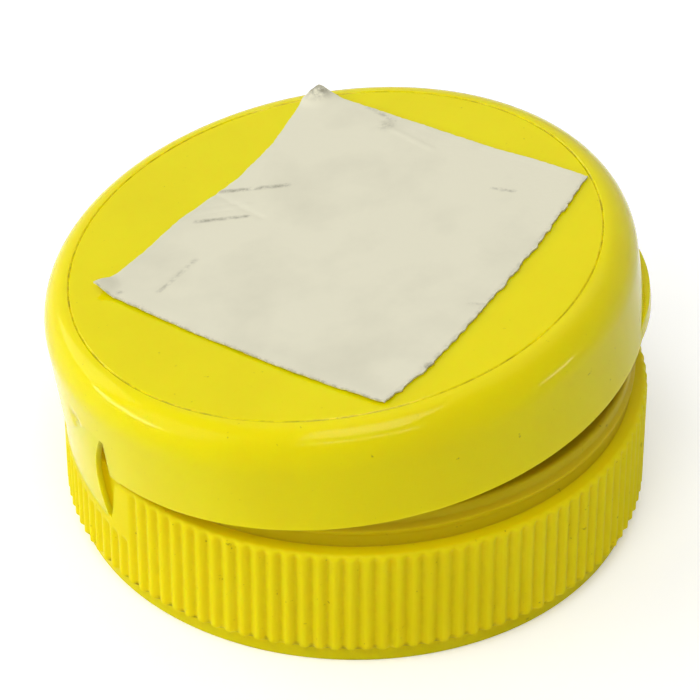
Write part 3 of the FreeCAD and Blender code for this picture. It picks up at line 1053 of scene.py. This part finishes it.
class MAKE_OT_cap_stage(bpy.types.Operator):
    """Makes the floor, the studio light and the camera at the photograph's angle"""

    bl_idname = "make.cap_stage"
    bl_label = "Stage"

    def execute(self, context):
        """Builds the stage and sets the scene's camera."""
        scene = context.scene
        finishes = scene.cap_finishes
        scene.view_settings.view_transform = "Standard"
        self.floor(finishes)
        self.lamps()
        self.world(scene)
        self.camera(scene)
        return {"FINISHED"}

    def looked_at(self, tree):
        """1 where the background is looked at straight, in a reflection or through something clear."""
        path = add_node(tree, "ShaderNodeLightPath")
        straight = add_node(tree, "ShaderNodeMath", {"operation": "MAXIMUM"},
                            {0: path.outputs["Is Camera Ray"], 1: path.outputs["Is Glossy Ray"]})
        every = add_node(tree, "ShaderNodeMath", {"operation": "MAXIMUM"},
                         {0: straight.outputs[0], 1: path.outputs["Is Transmission Ray"]})
        return every.outputs[0]

    def floor(self, finishes):
        """A plain pale floor that looks white to the camera and keeps the cap's shadow."""
        mesh = bpy.data.meshes.new("floor")
        mesh.from_pydata([(-2, -2, 0), (2, -2, 0), (2, 2, 0), (-2, 2, 0)], [], [(0, 1, 2, 3)])
        floor = bpy.data.objects.new("floor", mesh)
        bpy.context.scene.collection.objects.link(floor)
        material, tree, output = new_material("pale studio floor")
        shader = add_node(tree, "ShaderNodeBsdfPrincipled", {"Base Color": (*finishes.floor, 1), "Roughness": 0.9})
        lifted = add_node(tree, "ShaderNodeMath", {"operation": "MULTIPLY", 1: 0.3}, {0: self.looked_at(tree)})
        glow = add_node(tree, "ShaderNodeEmission", {"Color": (1, 1, 1, 1)}, {"Strength": lifted.outputs[0]})
        both = add_node(tree, "ShaderNodeAddShader", None, {0: shader.outputs["BSDF"], 1: glow.outputs[0]})
        tree.links.new(both.outputs[0], output.inputs["Surface"])
        mesh.materials.append(material)

    def lamps(self):
        """Large soft lamps above, on the left and behind, and thin strips that draw the streaks on the rim."""
        settings = (
            ("overhead_lamp", (-0.12, -0.38, 0.85), (0.5, 0.5), 3.9),
            ("left_lamp", (-0.85, -0.15, 0.42), (0.6, 0.6), 1.9),
            ("back_lamp", (0.1, 0.3, 0.85), (1.0, 0.8), 2.0),
            ("back_left_lamp", (-0.7, 0.5, 0.45), (0.5, 0.5), 1.7),
            ("front_strip", (-0.12, -0.72, 0.52), (0.62, 0.021), 0.95),
            ("left_strip", (-0.87, 0.05, 0.15), (0.5, 0.1), 1.75),
            ("right_strip", (0.85, -0.3, 0.03), (0.25, 0.02), 0.42),
        )
        for name, place, size, power in settings:
            lamp = bpy.data.lights.new(name, "AREA")
            lamp.shape = "RECTANGLE"
            lamp.size, lamp.size_y = size
            lamp.energy = power
            obj = bpy.data.objects.new(name, lamp)
            obj.location = place
            obj.rotation_mode = "QUATERNION"
            obj.rotation_quaternion = (-Vector(place)).to_track_quat("-Z", "Y")
            bpy.context.scene.collection.objects.link(obj)

    def world(self, scene):
        """An even pale room, which the camera sees as white."""
        world = bpy.data.worlds.new("pale room")
        world.use_nodes = True
        tree = world.node_tree
        tree.nodes.clear()
        room = add_node(tree, "ShaderNodeBackground", {"Color": (1, 1, 1, 1), "Strength": 0.08})
        seen = add_node(tree, "ShaderNodeBackground", {"Color": (1, 1, 1, 1), "Strength": 1.0})
        mix = add_node(tree, "ShaderNodeMixShader", None, {
            0: self.looked_at(tree), 1: room.outputs[0], 2: seen.outputs[0]})
        output = tree.nodes.new("ShaderNodeOutputWorld")
        tree.links.new(mix.outputs[0], output.inputs["Surface"])
        scene.world = world

    def camera(self, scene):
        """The camera, matched to the photograph."""
        azimuth = math.radians(-6.7)
        elevation = math.radians(37.18)
        distance = 273.27 * MM
        shift_right = -0.36
        shift_up = 1.95
        back = Vector((math.sin(azimuth) * math.cos(elevation), -math.cos(azimuth) * math.cos(elevation),
                       math.sin(elevation)))
        right = Vector((math.cos(azimuth), math.sin(azimuth), 0))
        up = back.cross(right)
        target = Vector((0, 0, 9.0)) * MM + right * shift_right * MM + up * shift_up * MM
        data = bpy.data.cameras.new("photo_camera")
        data.sensor_width = 36
        data.lens = 198
        data.clip_start = 0.01
        data.clip_end = 20
        camera = bpy.data.objects.new("photo_camera", data)
        camera.location = target + back * distance
        camera.rotation_mode = "QUATERNION"
        camera.rotation_quaternion = (-back).to_track_quat("-Z", "Y")
        scene.collection.objects.link(camera)
        scene.camera = camera


class VIEW3D_PT_flip_top_cap(bpy.types.Panel):
    """Lists the cap's sizes, colours and operators"""

    bl_label = "Flip Top Cap"
    bl_idname = "VIEW3D_PT_flip_top_cap"
    bl_space_type = "VIEW_3D"
    bl_region_type = "UI"
    bl_category = "Flip Top Cap"

    def draw(self, context):
        """Draws the groups and the buttons."""
        layout = self.layout
        for group in (context.scene.cap_base_sizes, context.scene.cap_lid_sizes, context.scene.cap_finishes):
            box = layout.box()
            for name in group.__annotations__:
                box.prop(group, name)
        for operator in STEPS:
            layout.operator(operator.bl_idname)


GROUPS = {"cap_base_sizes": CapBaseSizes, "cap_lid_sizes": CapLidSizes, "cap_finishes": CapFinishes}
STEPS = (MAKE_OT_cap_base, MAKE_OT_cap_lid, MAKE_OT_hinge_web, MAKE_OT_paper_label, MAKE_OT_cap_stage)


def register():
    """Registers the classes and hangs the property groups on the scene."""
    for cls in (*GROUPS.values(), *STEPS, VIEW3D_PT_flip_top_cap):
        bpy.utils.register_class(cls)
    for name, group in GROUPS.items():
        setattr(bpy.types.Scene, name, bpy.props.PointerProperty(type=group))


def unregister():
    """Takes the property groups and the classes away again."""
    for name in GROUPS:
        delattr(bpy.types.Scene, name)
    for cls in (VIEW3D_PT_flip_top_cap, *reversed(STEPS), *GROUPS.values()):
        bpy.utils.unregister_class(cls)


def main():
    """Makes every piece and the stage."""
    register()
    bpy.ops.make.cap_base()
    bpy.ops.make.cap_lid()
    bpy.ops.make.hinge_web()
    bpy.ops.make.paper_label()
    bpy.ops.make.cap_stage()


if __name__ == "__main__":
    main()
